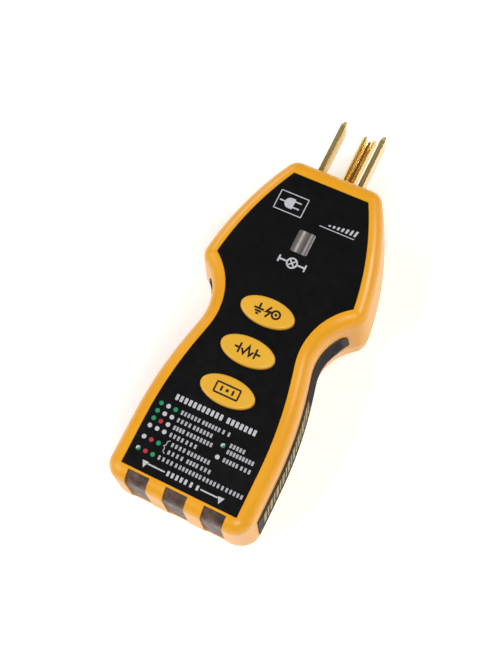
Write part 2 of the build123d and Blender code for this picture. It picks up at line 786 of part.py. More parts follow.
# ---------------------------------------------------------------- screws
def pan_screw(head_radius, head_rise, thread_radius, length, plane, spots):
    """Pan-head screws, head underside on the plane, shank along its normal."""
    with Locations(plane):
        with Locations(*spots):
            Cylinder(thread_radius, length, align=upward)
            Cylinder(head_radius, head_rise, align=downward)


seat_plane = Plane.XY.offset(head_seat_z)
with BuildPart() as housing_screws:
    pan_screw(housing_head, housing_head_rise, housing_thread, housing_screw_length, seat_plane, post_spots)
finish(housing_screws, "housing_screws")

under_board = Plane.XY.offset(board_low)
with BuildPart() as board_screws:
    pan_screw(board_head, board_head_rise, board_thread, board_screw_length, under_board, standoff_spots)
finish(board_screws, "board_screws")

behind_retainer = [(-x, z) for x, z in retainer_spots]
with BuildPart() as retainer_screws:
    pan_screw(
        board_head, board_head_rise, board_thread, retainer_screw_length, retainer_plane, behind_retainer
    )
finish(retainer_screws, "retainer_screws")
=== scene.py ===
import json
import math

import bpy
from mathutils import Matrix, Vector
from mathutils.bvhtree import BVHTree


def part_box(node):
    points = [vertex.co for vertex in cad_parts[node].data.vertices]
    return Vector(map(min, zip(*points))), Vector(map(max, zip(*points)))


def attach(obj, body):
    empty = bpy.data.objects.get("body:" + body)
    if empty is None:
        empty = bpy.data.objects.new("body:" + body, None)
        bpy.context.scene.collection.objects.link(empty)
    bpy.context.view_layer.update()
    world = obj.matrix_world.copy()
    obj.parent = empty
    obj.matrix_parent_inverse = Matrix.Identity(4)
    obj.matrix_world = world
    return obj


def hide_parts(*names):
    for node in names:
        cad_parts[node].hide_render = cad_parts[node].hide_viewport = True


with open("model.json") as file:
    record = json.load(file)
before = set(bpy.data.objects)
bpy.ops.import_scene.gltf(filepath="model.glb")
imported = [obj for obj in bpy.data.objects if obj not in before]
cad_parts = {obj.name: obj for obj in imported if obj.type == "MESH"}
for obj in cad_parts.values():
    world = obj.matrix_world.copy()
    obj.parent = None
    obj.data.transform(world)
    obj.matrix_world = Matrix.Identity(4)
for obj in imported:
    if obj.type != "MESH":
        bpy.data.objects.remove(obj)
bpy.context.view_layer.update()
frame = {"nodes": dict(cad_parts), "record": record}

MM = 0.001
MAIN_BODY = "tester_body"
nodes = frame["nodes"]
record = frame["record"]


# ---------------------------------------------------------------- camera, floor, light
def aim(obj, target):
    """Turns a light so that it faces target."""
    obj.rotation_euler = (Vector(target) - obj.location).to_track_quat("-Z", "Y").to_euler()


def area_light(name, place, target, size, watts, colour):
    data = bpy.data.lights.new(name, "AREA")
    data.energy = watts
    data.color = colour
    data.size = size
    lamp = bpy.data.objects.new(name, data)
    lamp.location = place
    aim(lamp, target)
    bpy.context.scene.collection.objects.link(lamp)


LENS_MM = 54.27
SENSOR_MM = 36
NEAREST = 0.01
CAMERA_PLACE = (0.05466, -0.06052, 0.28979)
CAMERA_TURN = (17.635, 4.729, 26.218)    # degrees
camera = bpy.data.objects.new("camera", bpy.data.cameras.new("camera"))
camera.data.lens = LENS_MM
camera.data.sensor_width = SENSOR_MM
camera.data.clip_start = NEAREST
camera.location = CAMERA_PLACE
camera.rotation_euler = [math.radians(a) for a in CAMERA_TURN]
bpy.context.scene.collection.objects.link(camera)
bpy.context.scene.camera = camera

LIT_POINT = (0, 0.01, 0.014)
# name, place, size, watts, colour
LIGHTS = [
    ("key", (0.25, -0.30, 0.65), 0.34, 2.3, (1.0, 0.99, 0.985)),
    ("fill", (-0.44, -0.40, 0.52), 0.50, 3.2, (0.97, 0.985, 1.0)),
    ("rim", (0.42, 0.36, 0.45), 0.24, 2.1, (1, 1, 1)),
    ("kick", (-0.50, 0.36, 0.34), 0.20, 1.0, (1, 1, 1)),
]
for name, place, size, watts, colour in LIGHTS:
    area_light(name, place, LIT_POINT, size, watts, colour)

WALL_LIGHT, CEILING_LIGHT = 0.25, 0.08
WALL_TOP, CEILING_EDGE = 0.05, 0.70      # upward part of the view direction


def studio_world():
    """Pale walls all round and a dim ceiling, so that the flat black label stays dark."""
    made = bpy.data.worlds.new("studio")
    made.use_nodes = True
    tree = made.node_tree
    split = tree.nodes.new("ShaderNodeSeparateXYZ")
    tree.links.new(tree.nodes.new("ShaderNodeTexCoord").outputs["Generated"], split.inputs["Vector"])
    ramp = tree.nodes.new("ShaderNodeMapRange")
    ramp.interpolation_type = "SMOOTHSTEP"
    ramp.inputs["From Min"].default_value = WALL_TOP
    ramp.inputs["From Max"].default_value = CEILING_EDGE
    ramp.inputs["To Min"].default_value = WALL_LIGHT
    ramp.inputs["To Max"].default_value = CEILING_LIGHT
    tree.links.new(split.outputs["Z"], ramp.inputs["Value"])
    tree.links.new(ramp.outputs["Result"], tree.nodes["Background"].inputs["Strength"])
    tree.nodes["Background"].inputs["Color"].default_value = (1, 1, 1, 1)
    return made


bpy.context.scene.world = studio_world()
bpy.context.scene.view_settings.view_transform = "Standard"


# ---------------------------------------------------------------- materials
CLEAR_IOR = 1.49
ROUGH_SWING = 0.03       # half the change of gloss over moulded plastic
SCREEN_TINT = (1.0, 0.93, 0.90)


class Shader:
    """A Principled material whose colour, roughness and relief come from noise in object space."""

    def __init__(self, name, **constants):
        self.material = bpy.data.materials.new(name)
        self.material.use_nodes = True
        self.tree = self.material.node_tree
        self.bsdf = self.tree.nodes["Principled BSDF"]
        self.relief = None
        for key, value in constants.items():
            self.bsdf.inputs[key.replace("_", " ")].default_value = value

    def add(self, kind, **settings):
        made = self.tree.nodes.new(kind)
        for key, value in settings.items():
            setattr(made, key, value)
        return made

    def link(self, source, target):
        self.tree.links.new(source, target)

    def coords(self, stretch=(1, 1, 1)):
        mapping = self.add("ShaderNodeMapping")
        mapping.inputs["Scale"].default_value = stretch
        self.link(self.add("ShaderNodeTexCoord").outputs["Object"], mapping.inputs["Vector"])
        return mapping.outputs["Vector"]

    def noise(self, grain, detail=3.0, stretch=(1, 1, 1), sharp=0.55):
        """Noise whose features are about grain millimetres across."""
        made = self.add("ShaderNodeTexNoise")
        made.inputs["Scale"].default_value = 1 / (grain * MM)
        made.inputs["Detail"].default_value = detail
        made.inputs["Roughness"].default_value = sharp
        self.link(self.coords(stretch), made.inputs["Vector"])
        return made.outputs["Fac"]

    def cells(self, grain, stretch=(1, 1, 1)):
        made = self.add("ShaderNodeTexVoronoi")
        made.inputs["Scale"].default_value = 1 / (grain * MM)
        self.link(self.coords(stretch), made.inputs["Vector"])
        return made.outputs["Distance"]

    def bands(self, pitch, axis):
        made = self.add("ShaderNodeTexWave", bands_direction=axis)
        made.inputs["Scale"].default_value = math.pi / 10 / (pitch * MM)
        self.link(self.coords(), made.inputs["Vector"])
        return made.outputs["Fac"]

    def span(self, value, low, high, from_low=0.3, from_high=0.7):
        made = self.add("ShaderNodeMapRange")
        made.inputs["From Min"].default_value = from_low
        made.inputs["From Max"].default_value = from_high
        made.inputs["To Min"].default_value = low
        made.inputs["To Max"].default_value = high
        self.link(value, made.inputs["Value"])
        return made.outputs["Result"]

    def height(self, axis, low, high):
        """0 to 1 along one object axis between two positions in millimetres."""
        split = self.add("ShaderNodeSeparateXYZ")
        self.link(self.coords(), split.inputs["Vector"])
        return self.span(split.outputs[axis], 0, 1, low * MM, high * MM)

    def blend(self, factor, first, second):
        made = self.add("ShaderNodeMix", data_type="RGBA")
        for socket, value in ((made.inputs[6], first), (made.inputs[7], second)):
            if isinstance(value, tuple):
                socket.default_value = (*value, 1)
            else:
                self.link(value, socket)
        self.link(factor, made.inputs[0])
        return made.outputs[2]

    def colour(self, value):
        self.link(value, self.bsdf.inputs["Base Color"])

    def rough(self, value):
        self.link(value, self.bsdf.inputs["Roughness"])

    def soften(self, radius):
        """Rounds the sharp edges in the shading by radius millimetres."""
        made = self.add("ShaderNodeBevel")
        made.samples = 4
        made.inputs["Radius"].default_value = radius * MM
        self.relief = made.outputs["Normal"]
        self.link(self.relief, self.bsdf.inputs["Normal"])

    def bump(self, value, depth, strength=0.5):
        """Relief of depth millimetres, on top of what is there."""
        made = self.add("ShaderNodeBump")
        made.inputs["Strength"].default_value = strength
        made.inputs["Distance"].default_value = depth * MM
        self.link(value, made.inputs["Height"])
        if self.relief:
            self.link(self.relief, made.inputs["Normal"])
        self.relief = made.outputs["Normal"]
        self.link(self.relief, self.bsdf.inputs["Normal"])


def moulded(name, low, high, rough, grain=0.30, depth=0.012, edge=0.15, **constants):
    """Moulded plastic: slow colour drift, spark-eroded skin, faint flow marks, soft edges."""
    made = Shader(name, **constants)
    made.colour(made.blend(made.span(made.noise(22, 4), 0, 1), low, high))
    made.rough(made.span(made.noise(11, 0), rough - ROUGH_SWING, rough + ROUGH_SWING))
    made.soften(edge)
    made.bump(made.noise(grain, 3, sharp=0.5), depth, 0.20)
    made.bump(made.noise(7.0, 1), depth * 2, 0.05)
    return made.material


def metal(name, low, high, rough, stretch, metallic=1.0):
    """Drawn or plated metal: fine lines along the stretch, stains and soft edges."""
    made = Shader(name, Metallic=metallic)
    stain = made.span(made.noise(1.3, 5, stretch, sharp=0.6), 0, 1, 0.36, 0.64)
    made.colour(made.blend(stain, low, high))
    lines = made.noise(0.25, 4, stretch)
    made.rough(made.span(lines, rough - 0.07, rough + 0.12))
    made.soften(0.05)
    made.bump(lines, 0.006, 0.25)
    return made.material


def ink(name, shade, rough=0.42):
    """Screen-printed ink: slightly uneven cover with a fine mesh grain."""
    made = Shader(name)
    dim = tuple(c * 0.80 for c in shade)
    made.colour(made.blend(made.span(made.noise(0.5, 4), 0, 1, 0.4, 0.6), dim, shade))
    made.rough(made.span(made.noise(1.2, 2), rough - 0.06, rough + 0.08))
    made.bump(made.noise(0.14, 3), 0.006, 0.5)
    return made.material


def smoked(name, low, high, clear, pitch, rough=0.16):
    """Smoked translucent plastic with fine moulded prisms on its back."""
    made = Shader(name, IOR=CLEAR_IOR)
    made.bsdf.inputs["Transmission Weight"].default_value = clear
    made.bsdf.inputs["Specular IOR Level"].default_value = 0.22
    cloud = made.span(made.noise(3.2, 3, sharp=0.5), 0.15, 1, 0.36, 0.62)
    grain = made.span(made.cells(pitch), 0.35, 1.0, 0.0, 0.6)
    product = made.add("ShaderNodeMath", operation="MULTIPLY")
    made.link(cloud, product.inputs[0])
    made.link(grain, product.inputs[1])
    made.colour(made.blend(product.outputs["Value"], low, high))
    made.rough(made.span(made.noise(1.0, 3), rough - 0.04, rough + 0.10))
    made.soften(0.15)
    made.bump(made.bands(pitch, "X"), 0.03, 0.4)
    made.bump(made.noise(0.35, 3), 0.01, 0.3)
    return made.material


def window_with_painted_facet_light(name, stops):
    """Clear rectangular lens whose upright facets are painted into its colour: painted highlights and
    painted shade as light and dark stripes across it.
    """
    made = Shader(name, IOR=CLEAR_IOR)
    made.bsdf.inputs["Transmission Weight"].default_value = 0.25
    # painted highlights and painted shade: a ramp of light and dark stops across the lens in X, which also
    # drives its relief
    ramp = made.add("ShaderNodeValToRGB")
    band = ramp.color_ramp.elements
    for place, shade in stops[1:-1]:
        band.new(place).color = (*(shade * tint for tint in SCREEN_TINT), 1)
    for index, (_, shade) in ((0, stops[0]), (-1, stops[-1])):
        band[index].color = (*(shade * tint for tint in SCREEN_TINT), 1)
    low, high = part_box("test_lens")
    made.link(made.height("X", low.x / MM, high.x / MM), ramp.inputs["Fac"])
    dirt = made.span(made.noise(1.1, 5, sharp=0.7), 0, 0.6, 0.4, 0.75)
    made.colour(made.blend(dirt, ramp.outputs["Color"], (0.20, 0.175, 0.165)))
    made.rough(made.span(made.noise(0.8, 3), 0.12, 0.28))
    made.soften(0.2)
    made.bump(ramp.outputs["Color"], 0.12, 0.6)
    made.bump(made.noise(0.4, 3), 0.01, 0.3)
    return made.material


YELLOW = ((0.78, 0.335, 0.013), (0.84, 0.380, 0.018))
looks = {
    "yellow_plastic": moulded("yellow_plastic", *YELLOW, 0.30, Specular_IOR_Level=0.36),
    "button_plastic": moulded("button_plastic", (0.76, 0.40, 0.030), (0.82, 0.45, 0.042), 0.36, edge=0.12),
    "rating_film": moulded("rating_film", (0.62, 0.63, 0.64), (0.70, 0.71, 0.72), 0.38, depth=0.004),
    "board_laminate": moulded("board_laminate", (0.012, 0.13, 0.05), (0.02, 0.18, 0.07), 0.30, 0.6),
    "black_plastic": moulded("black_plastic", (0.010, 0.010, 0.011), (0.018, 0.018, 0.020), 0.45),
    "key_plastic": moulded("key_plastic", (0.40, 0.03, 0.025), (0.48, 0.045, 0.035), 0.38),
    "lead_jacket": moulded("lead_jacket", (0.02, 0.26, 0.06), (0.03, 0.32, 0.08), 0.36),
    "capacitor_case": moulded("capacitor_case", (0.42, 0.05, 0.03), (0.50, 0.07, 0.04), 0.40),
    "varistor_coat": moulded("varistor_coat", (0.02, 0.09, 0.30), (0.03, 0.12, 0.36), 0.48, 0.5, 0.03),
    "ceramic": moulded("ceramic", (0.68, 0.67, 0.62), (0.78, 0.77, 0.73), 0.60, 0.4, 0.03),
    "led_resin": moulded("led_resin", (0.70, 0.72, 0.70), (0.80, 0.82, 0.80), 0.14, depth=0.003),
    "brass": metal("brass", (0.66, 0.40, 0.075), (0.97, 0.74, 0.30), 0.18, (1, 0.03, 1), 0.80),
    "steel": metal("steel", (0.42, 0.42, 0.43), (0.62, 0.62, 0.63), 0.32, (1, 1, 0.2)),
    "capacitor_can": metal("capacitor_can", (0.55, 0.55, 0.57), (0.68, 0.68, 0.70), 0.28, (1, 1, 0.05)),
    "smoke_lens": smoked("smoke_lens", (0.034, 0.017, 0.009), (0.20, 0.118, 0.092), 0.30, 0.50, 0.38),
    "fuse_glass": smoked("fuse_glass", (0.80, 0.84, 0.84), (0.88, 0.92, 0.92), 0.9, 2.0, 0.06),
}


def label_film():
    """Matt black polycarbonate film with a fine velvet texture."""
    made = Shader("label_film")
    made.bsdf.inputs["Specular IOR Level"].default_value = 0.17
    drift = made.span(made.noise(14, 4), 0, 1)
    made.colour(made.blend(drift, (0.0026, 0.0026, 0.0030), (0.0046, 0.0044, 0.0050)))
    made.rough(made.span(made.noise(2.5, 4), 0.34, 0.46))
    made.bump(made.noise(0.16, 3, sharp=0.7), 0.010, 0.45)
    return made.material


def grip_rubber():
    """Moulded rubber: dull, slightly dusty, with a leathery pebble."""
    made = Shader("grip_rubber")
    made.bsdf.inputs["Specular IOR Level"].default_value = 0.35
    dust = made.span(made.noise(1.6, 6, sharp=0.7), 0, 1, 0.42, 0.72)
    made.colour(made.blend(dust, (0.014, 0.012, 0.014), (0.036, 0.031, 0.035)))
    made.rough(made.span(made.noise(0.8, 4), 0.52, 0.70))
    made.soften(0.12)
    made.bump(made.cells(0.42), 0.05, 0.5)
    made.bump(made.noise(0.12, 3), 0.015, 0.5)
    return made.material


looks["label_film"] = label_film()
looks["grip_rubber"] = grip_rubber()
for entry in record["subparts"]:
    for place in nodes[entry["node"]].material_slots:
        place.material = looks[entry["material_slot"]]

# painted highlights and painted shade of the window's facets: place across the lens, then brightness
WINDOW_PAINTED_LIGHT_STOPS = [(0.0, 0.16), (0.07, 0.80), (0.14, 0.08), (0.30, 0.20), (0.38, 0.70), (0.46, 0.22),
                (0.62, 0.08), (0.70, 0.50), (0.78, 0.12), (0.90, 0.90), (1.0, 0.16)]
window_glass = window_with_painted_facet_light("window_glass", WINDOW_PAINTED_LIGHT_STOPS)
for place in nodes["test_lens"].material_slots:
    place.material = window_glass

white_ink = ink("white_ink", (0.56, 0.55, 0.585))
dim_ink = ink("dim_ink", (0.44, 0.43, 0.46))
green_ink = ink("green_ink", (0.012, 0.30, 0.125))
red_ink = ink("red_ink", (0.48, 0.030, 0.035))
black_ink = ink("black_ink", (0.014, 0.008, 0.010))
yellow_ink = ink("yellow_ink", (0.42, 0.34, 0.11), 0.5)
grey_ink = ink("grey_ink", (0.10, 0.10, 0.11))


FLOOR_GLOW = 0.30


def floor_paper():
    """White seamless paper that glows a little, as an evenly lit sweep does."""
    made = Shader("floor_paper")
    made.colour(made.blend(made.span(made.noise(30, 3), 0, 1), (0.90, 0.90, 0.90), (0.93, 0.93, 0.93)))
    made.rough(made.span(made.noise(5, 3), 0.75, 0.85))
    made.bump(made.noise(0.8, 4), 0.01, 0.2)
    made.bsdf.inputs["Emission Color"].default_value = (1, 1, 1, 1)
    made.bsdf.inputs["Emission Strength"].default_value = FLOOR_GLOW
    return made.material


def mesh_object(name, points, faces, material, smooth=False):
    data = bpy.data.meshes.new(name)
    data.from_pydata([tuple(p) for p in points], [], faces)
    data.validate()
    data.materials.append(material)
    for face in data.polygons:
        face.use_smooth = smooth
    made = bpy.data.objects.new(name, data)
    bpy.context.scene.collection.objects.link(made)
    return made


FLOOR_HALF = 1.6
FLOOR_Z = -0.00015
floor = mesh_object(
    "floor",
    [(-FLOOR_HALF, -FLOOR_HALF, FLOOR_Z), (FLOOR_HALF, -FLOOR_HALF, FLOOR_Z),
     (FLOOR_HALF, FLOOR_HALF, FLOOR_Z), (-FLOOR_HALF, FLOOR_HALF, FLOOR_Z)],
    [(0, 1, 2, 3)], floor_paper())


# ---------------------------------------------------------------- printed marks
class Print:
    """Flat printed marks, gathered as polygons in millimetres and raised a hair above a surface."""

    THICK = 0.035
    STAGGER = 0.0015         # marks that cross differ in height by this, so that no two faces coincide
    LEVELS = 7
    SUNK = 0.3               # share of the thickness that lies below the surface
    LEAST_MITRE = 0.35
    BLOCK_WIDE, BLOCK_PITCH, BLOCK_CORNER = 0.50, 0.76, 0.12     # as shares of a line's height

    def __init__(self, name, surface_z, material, body, upside_down=False):
        self.name = name
        self.z = surface_z
        self.material = material
        self.body = body
        self.flip = upside_down
        self.points = []
        self.faces = []
        self.slabs = 0

    def slab(self, outline):
        """A prism on a closed outline, drawn counter-clockwise."""
        start = len(self.points)
        count = len(outline)
        sign = -1 if self.flip else 1
        stagger = self.STAGGER * (self.slabs % self.LEVELS)
        self.slabs += 1
        bottom = self.z - sign * (self.THICK * self.SUNK + stagger) * MM
        top = self.z + sign * (self.THICK - stagger) * MM
        for z in (bottom, top):
            self.points += [(x * MM, y * MM, z) for x, y in outline]
        low = list(range(start, start + count))
        high = [i + count for i in low]
        new = [low[::-1], high]
        new += [(low[i], low[(i + 1) % count], high[(i + 1) % count], high[i]) for i in range(count)]
        self.faces += [f[::-1] for f in new] if self.flip else new

    def bar(self, x, y, width, height, lean=0.0, corner=0.22):
        """Rounded bar centred on x, y; lean slants it to the right."""
        corner = min(corner, width / 2.001, height / 2.001)
        outline = []
        steps = 4
        for cx, cy, first in ((1, -1, -90), (1, 1, 0), (-1, 1, 90), (-1, -1, 180)):
            for k in range(steps + 1):
                a = math.radians(first + 90 * k / steps)
                px = cx * (width / 2 - corner) + corner * math.cos(a)
                py = cy * (height / 2 - corner) + corner * math.sin(a)
                outline.append((x + px + lean * py, y + py))
        self.slab(outline)

    def dot(self, x, y, radius, first=0, last=360, steps=28):
        count = steps + (last - first < 360)
        angles = [math.radians(first + (last - first) * k / steps) for k in range(count)]
        self.slab([(x + radius * math.cos(a), y + radius * math.sin(a)) for a in angles])

    def ring(self, x, y, radius, width, steps=36):
        outer, inner = radius + width / 2, radius - width / 2
        for k in range(steps):
            a, b = (math.tau * i / steps for i in (k, k + 1))
            self.slab([(x + inner * math.cos(a), y + inner * math.sin(a)),
                       (x + outer * math.cos(a), y + outer * math.sin(a)),
                       (x + outer * math.cos(b), y + outer * math.sin(b)),
                       (x + inner * math.cos(b), y + inner * math.sin(b))])

    def stroke(self, line, width):
        """A mitred line of even width through the points."""
        pts = [Vector(p) for p in line]
        left, right = [], []
        for i, p in enumerate(pts):
            before = (p - pts[i - 1]).normalized() if i else None
            after = (pts[i + 1] - p).normalized() if i < len(pts) - 1 else None
            before = before or after
            after = after or before
            bisector = (before + after).normalized()
            normal = Vector((-bisector.y, bisector.x))
            reach = width / 2 / max(self.LEAST_MITRE, normal.dot(Vector((-before.y, before.x))))
            left.append(p + normal * reach)
            right.append(p - normal * reach)
        for i in range(len(pts) - 1):
            self.slab([right[i][:], right[i + 1][:], left[i + 1][:], left[i][:]])

    def frame(self, x, y, half, width):
        """Rectangular outline centred on x, y, with half sizes half."""
        signs = ((-1, -1), (1, -1), (1, 1), (-1, 1))
        corners = [(x + i * half[0], y + j * half[1]) for i, j in signs]
        for first, last in zip(corners, corners[1:] + corners[:1]):
            self.stroke([first, last], width)

    def words(self, x, y, lengths, height, gap=0.75):
        """Rows of plain upright blocks that stand for a line of words, from x to the right."""
        block = height * self.BLOCK_WIDE
        for length in lengths:
            count = max(1, round(length / (height * self.BLOCK_PITCH)))
            pitch = (length - block) / max(1, count - 1)
            for k in range(count):
                self.bar(x + block / 2 + k * pitch, y, block, height, corner=height * self.BLOCK_CORNER)
            x += length + gap

    def finish(self, slot):
        made = mesh_object(self.name, self.points, self.faces, self.material)
        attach(made, self.body)


label_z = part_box("face_label")[1].z
heading = Print("label_heading_bars", label_z, white_ink, MAIN_BODY)
heading.words(-12.1, -19.5, [14.2, 8.7], 1.7, 1.3)
heading.finish("label_film")

ROWS = [(-22.8, [5.7, 5.3, 2.2]), (-25.1, [4.1, 5.7]), (-27.35, [3.3, 7.6]), (-29.55, [4.1, 3.2])]
rows = Print("label_table_bars", label_z, dim_ink, MAIN_BODY)
ROW_HEIGHT = 1.22
ROW_START_X = -8.8
BRACED_START_X = -7.1
KEY_START_X = 7.2
for y, lengths in ROWS:
    rows.words(ROW_START_X, y, lengths, ROW_HEIGHT)
rows.words(BRACED_START_X, -31.8, [4.1, 6.6], ROW_HEIGHT)
rows.words(BRACED_START_X, -34.0, [3.2, 1.0, 3.4, 2.9], ROW_HEIGHT)
rows.words(ROW_START_X, -36.3, [3.2, 2.0, 6.6, 3.7, 3.1, 3.8], ROW_HEIGHT, 0.55)
for y, lengths in ((-25.3, [4.4]), (-27.1, [7.9]), (-29.5, [4.4, 2.9])):
    rows.words(KEY_START_X, y, lengths, ROW_HEIGHT)
BRACE = [(-7.8, -31.0), (-8.4, -31.5), (-8.4, -32.5), (-8.9, -32.9),
         (-8.4, -33.3), (-8.4, -34.3), (-7.8, -34.8)]
rows.stroke(BRACE, 0.24)
rows.finish("label_film")

DOT_X = (-14.9, -12.7, -10.5)
DOT_ROWS = [(-22.8, "gwg"), (-25.1, "gww"), (-27.35, "grw"), (-29.55, "www"), (-32.9, "wrg"), (-36.3, "hrg")]
inks = {"g": Print("label_dots_green", label_z, green_ink, MAIN_BODY),
        "r": Print("label_dots_red", label_z, red_ink, MAIN_BODY),
        "w": Print("label_dots_white", label_z, white_ink, MAIN_BODY)}
DOT_RADIUS = 0.64


def lamp_dot(x, y, kind):
    """One dot of the lamp table; h is a dot half white and half green."""
    if kind == "h":
        inks["w"].dot(x, y, DOT_RADIUS, 45, 225)
        inks["g"].dot(x, y, DOT_RADIUS, -135, 45)
    else:
        inks[kind].dot(x, y, DOT_RADIUS)


for y, kinds in DOT_ROWS:
    for x, kind in zip(DOT_X, kinds):
        lamp_dot(x, y, kind)
lamp_dot(5.5, -26.1, "h")
lamp_dot(5.5, -29.5, "w")
for made in inks.values():
    made.finish("label_film")

ARROW_X, ARROW_HALF = 11.3, 0.95
ARROW_TOP_Y, ARROW_TIP_Y = -38.6, -40.5
arrows = Print("label_arrow_line", label_z, white_ink, MAIN_BODY)
for side in (-1, 1):
    arrows.slab([(side * ARROW_X - ARROW_HALF, ARROW_TOP_Y), (side * ARROW_X, ARROW_TIP_Y),
                 (side * ARROW_X + ARROW_HALF, ARROW_TOP_Y)])
    arrows.bar(side * 7.9, -39.1, 5.2, 0.40)
arrows.words(-4.7, -39.1, [6.0, 2.6], 1.45, 0.9)
arrows.finish("label_film")

EMBLEM_X, EMBLEM_Y = -8.2, 44.8
emblem = Print("label_plug_emblem", label_z, white_ink, MAIN_BODY)
EMBLEM_HALF = (4.25, 2.95)
emblem.frame(EMBLEM_X, EMBLEM_Y, EMBLEM_HALF, 0.28)
emblem.bar(EMBLEM_X + 0.2, EMBLEM_Y, 1.3, 3.3, corner=0.25)
emblem.dot(EMBLEM_X - 0.35, EMBLEM_Y, 1.65, 90, 270)
emblem.bar(EMBLEM_X - 2.7, EMBLEM_Y, 1.7, 0.42, corner=0.1)
for side in (-1, 1):
    emblem.bar(EMBLEM_X + 1.85, EMBLEM_Y + side * 0.95, 2.0, 0.42, corner=0.12)
emblem.finish("label_film")

scale_line = Print("label_scale_line", label_z, white_ink, MAIN_BODY)
scale_line.bar(7.35, 41.9, 10.7, 0.24)
for k in range(7):
    tick = 0.55 + 0.22 * k
    scale_line.bar(4.7 + 1.3 * k, 42.7 + tick / 2, 0.66, tick, lean=0.2, corner=0.12)
scale_line.finish("label_film")

lamp_mark = Print("label_lamp_symbol", label_z, white_ink, MAIN_BODY)
LAMP_X, LAMP_Y, LAMP_RADIUS = -0.2, 28.4, 1.45
lamp_mark.ring(LAMP_X, LAMP_Y, LAMP_RADIUS, 0.48)
for a in (45, 135):
    dx, dy = (LAMP_RADIUS * f(math.radians(a)) for f in (math.cos, math.sin))
    lamp_mark.stroke([(LAMP_X - dx, LAMP_Y - dy), (LAMP_X + dx, LAMP_Y + dy)], 0.42)
for side in (-1, 1):
    lamp_mark.bar(LAMP_X + side * 2.85, LAMP_Y, 2.4, 0.5)
    lamp_mark.bar(LAMP_X + side * 4.0, LAMP_Y, 0.5, 2.2)
lamp_mark.finish("label_film")

LEGEND_LINE = 0.58


def button_legend(key):
    """Starts the printed symbol on one button, and gives it with the button's middle."""
    low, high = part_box(f"{key}_button")
    made = Print(f"{key}_legend", high.z, black_ink, f"{key}_key")
    return made, (low.x + high.x) / 2 / MM, (low.y + high.y) / 2 / MM


# earth symbol, leaking-current spark, round contact
legend, x, y = button_legend("gfci")
legend.bar(x - 2.5, y + 0.8, LEGEND_LINE, 1.7, corner=0.08)
for width, drop in ((2.9, 0.05), (1.9, 0.85), (0.9, 1.6)):
    legend.bar(x - 2.5, y - drop, width, LEGEND_LINE, corner=0.08)
SPARK = [(0.7, 1.65), (-0.35, -0.1), (0.95, 0.2), (-0.05, -1.7)]
legend.stroke([(x + dx, y + dy) for dx, dy in SPARK], LEGEND_LINE)
legend.ring(x + 2.6, y, 1.15, LEGEND_LINE)
legend.dot(x + 2.6, y, 0.42)
legend.finish("button_plastic")

# two contacts with an arc between them
legend, x, y = button_legend("afci")
for side in (-1, 1):
    legend.bar(x + side * 3.2, y, 1.3, LEGEND_LINE, corner=0.08)
    legend.bar(x + side * 2.4, y, LEGEND_LINE, 3.0, corner=0.08)
ARC = [(-1.75, 0.2), (-0.85, -1.2), (0.05, 1.3), (0.9, -1.2), (1.75, 0.2)]
legend.stroke([(x + dx, y + dy) for dx, dy in ARC], LEGEND_LINE)
legend.finish("button_plastic")

# wall socket seen from the front
legend, x, y = button_legend("neutral")
SOCKET_HALF = (3.5, 1.5)
legend.frame(x, y, SOCKET_HALF, LEGEND_LINE * 0.85)
legend.bar(x - 1.7, y, LEGEND_LINE, 1.5, corner=0.08)
legend.bar(x + 1.7, y, LEGEND_LINE, 1.5, corner=0.08)
legend.dot(x, y, 0.48)
legend.finish("button_plastic")

rear_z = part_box("rear_label")[0].z
rear_marks = Print("rear_label_marks", rear_z, grey_ink, MAIN_BODY, upside_down=True)
low, high = (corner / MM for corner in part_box("rear_label"))
EDGE = 1.3
ROW_COUNT, ROW_DROP, FIRST_ROW = 7, 3.4, 6.0
ROW_MARGIN, ROW_GAP = 3.0, 1.6
frame_line = [(low.x + EDGE, low.y + EDGE), (high.x - EDGE, low.y + EDGE), (high.x - EDGE, high.y - EDGE),
              (low.x + EDGE, high.y - EDGE), (low.x + EDGE, low.y + EDGE)]
rear_marks.stroke(frame_line, 0.3)
for k in range(ROW_COUNT):
    y = high.y - FIRST_ROW - ROW_DROP * k
    split = 0.35 + 0.1 * (k % 3)
    wide = high.x - low.x - 2 * ROW_MARGIN
    rear_marks.bar(low.x + ROW_MARGIN + wide * split / 2, y, wide * split, 0.9)
    rest = wide * (1 - split)
    rear_marks.bar(high.x - ROW_MARGIN - rest / 2 + 0.5, y, rest - ROW_GAP, 0.9)
    if k % 2:
        rear_marks.bar(0, y - ROW_DROP / 2, wide, 0.18)
rear_marks.finish("rating_film")


# ---------------------------------------------------------------- rubber grips: ribs and printed stripes
RAY_START_X = 60         # outside the part, where rays towards a grip begin
LEAST_X = 14             # a hit nearer to the middle than this is not the outer face


def surface_tree(node):
    data = nodes[node].data
    return BVHTree.FromPolygons([v.co for v in data.vertices], [p.vertices for p in data.polygons])


def on_grip(tree, side, y, z):
    """Point and outward normal on the outer face of a grip, y and z in millimetres, or None."""
    start = Vector((side * RAY_START_X * MM, y * MM, z * MM))
    hit, normal, _, _ = tree.ray_cast(start, Vector((-side, 0, 0)))
    if hit is None or abs(hit.x) < LEAST_X * MM:
        return None
    if normal.x * side < 0:
        normal = -normal
    return hit, normal


BEAD_PROFILE = [(-1.0, -0.35), (-0.72, 0.62), (0.0, 1.0), (0.72, 0.62), (1.0, -0.35)]


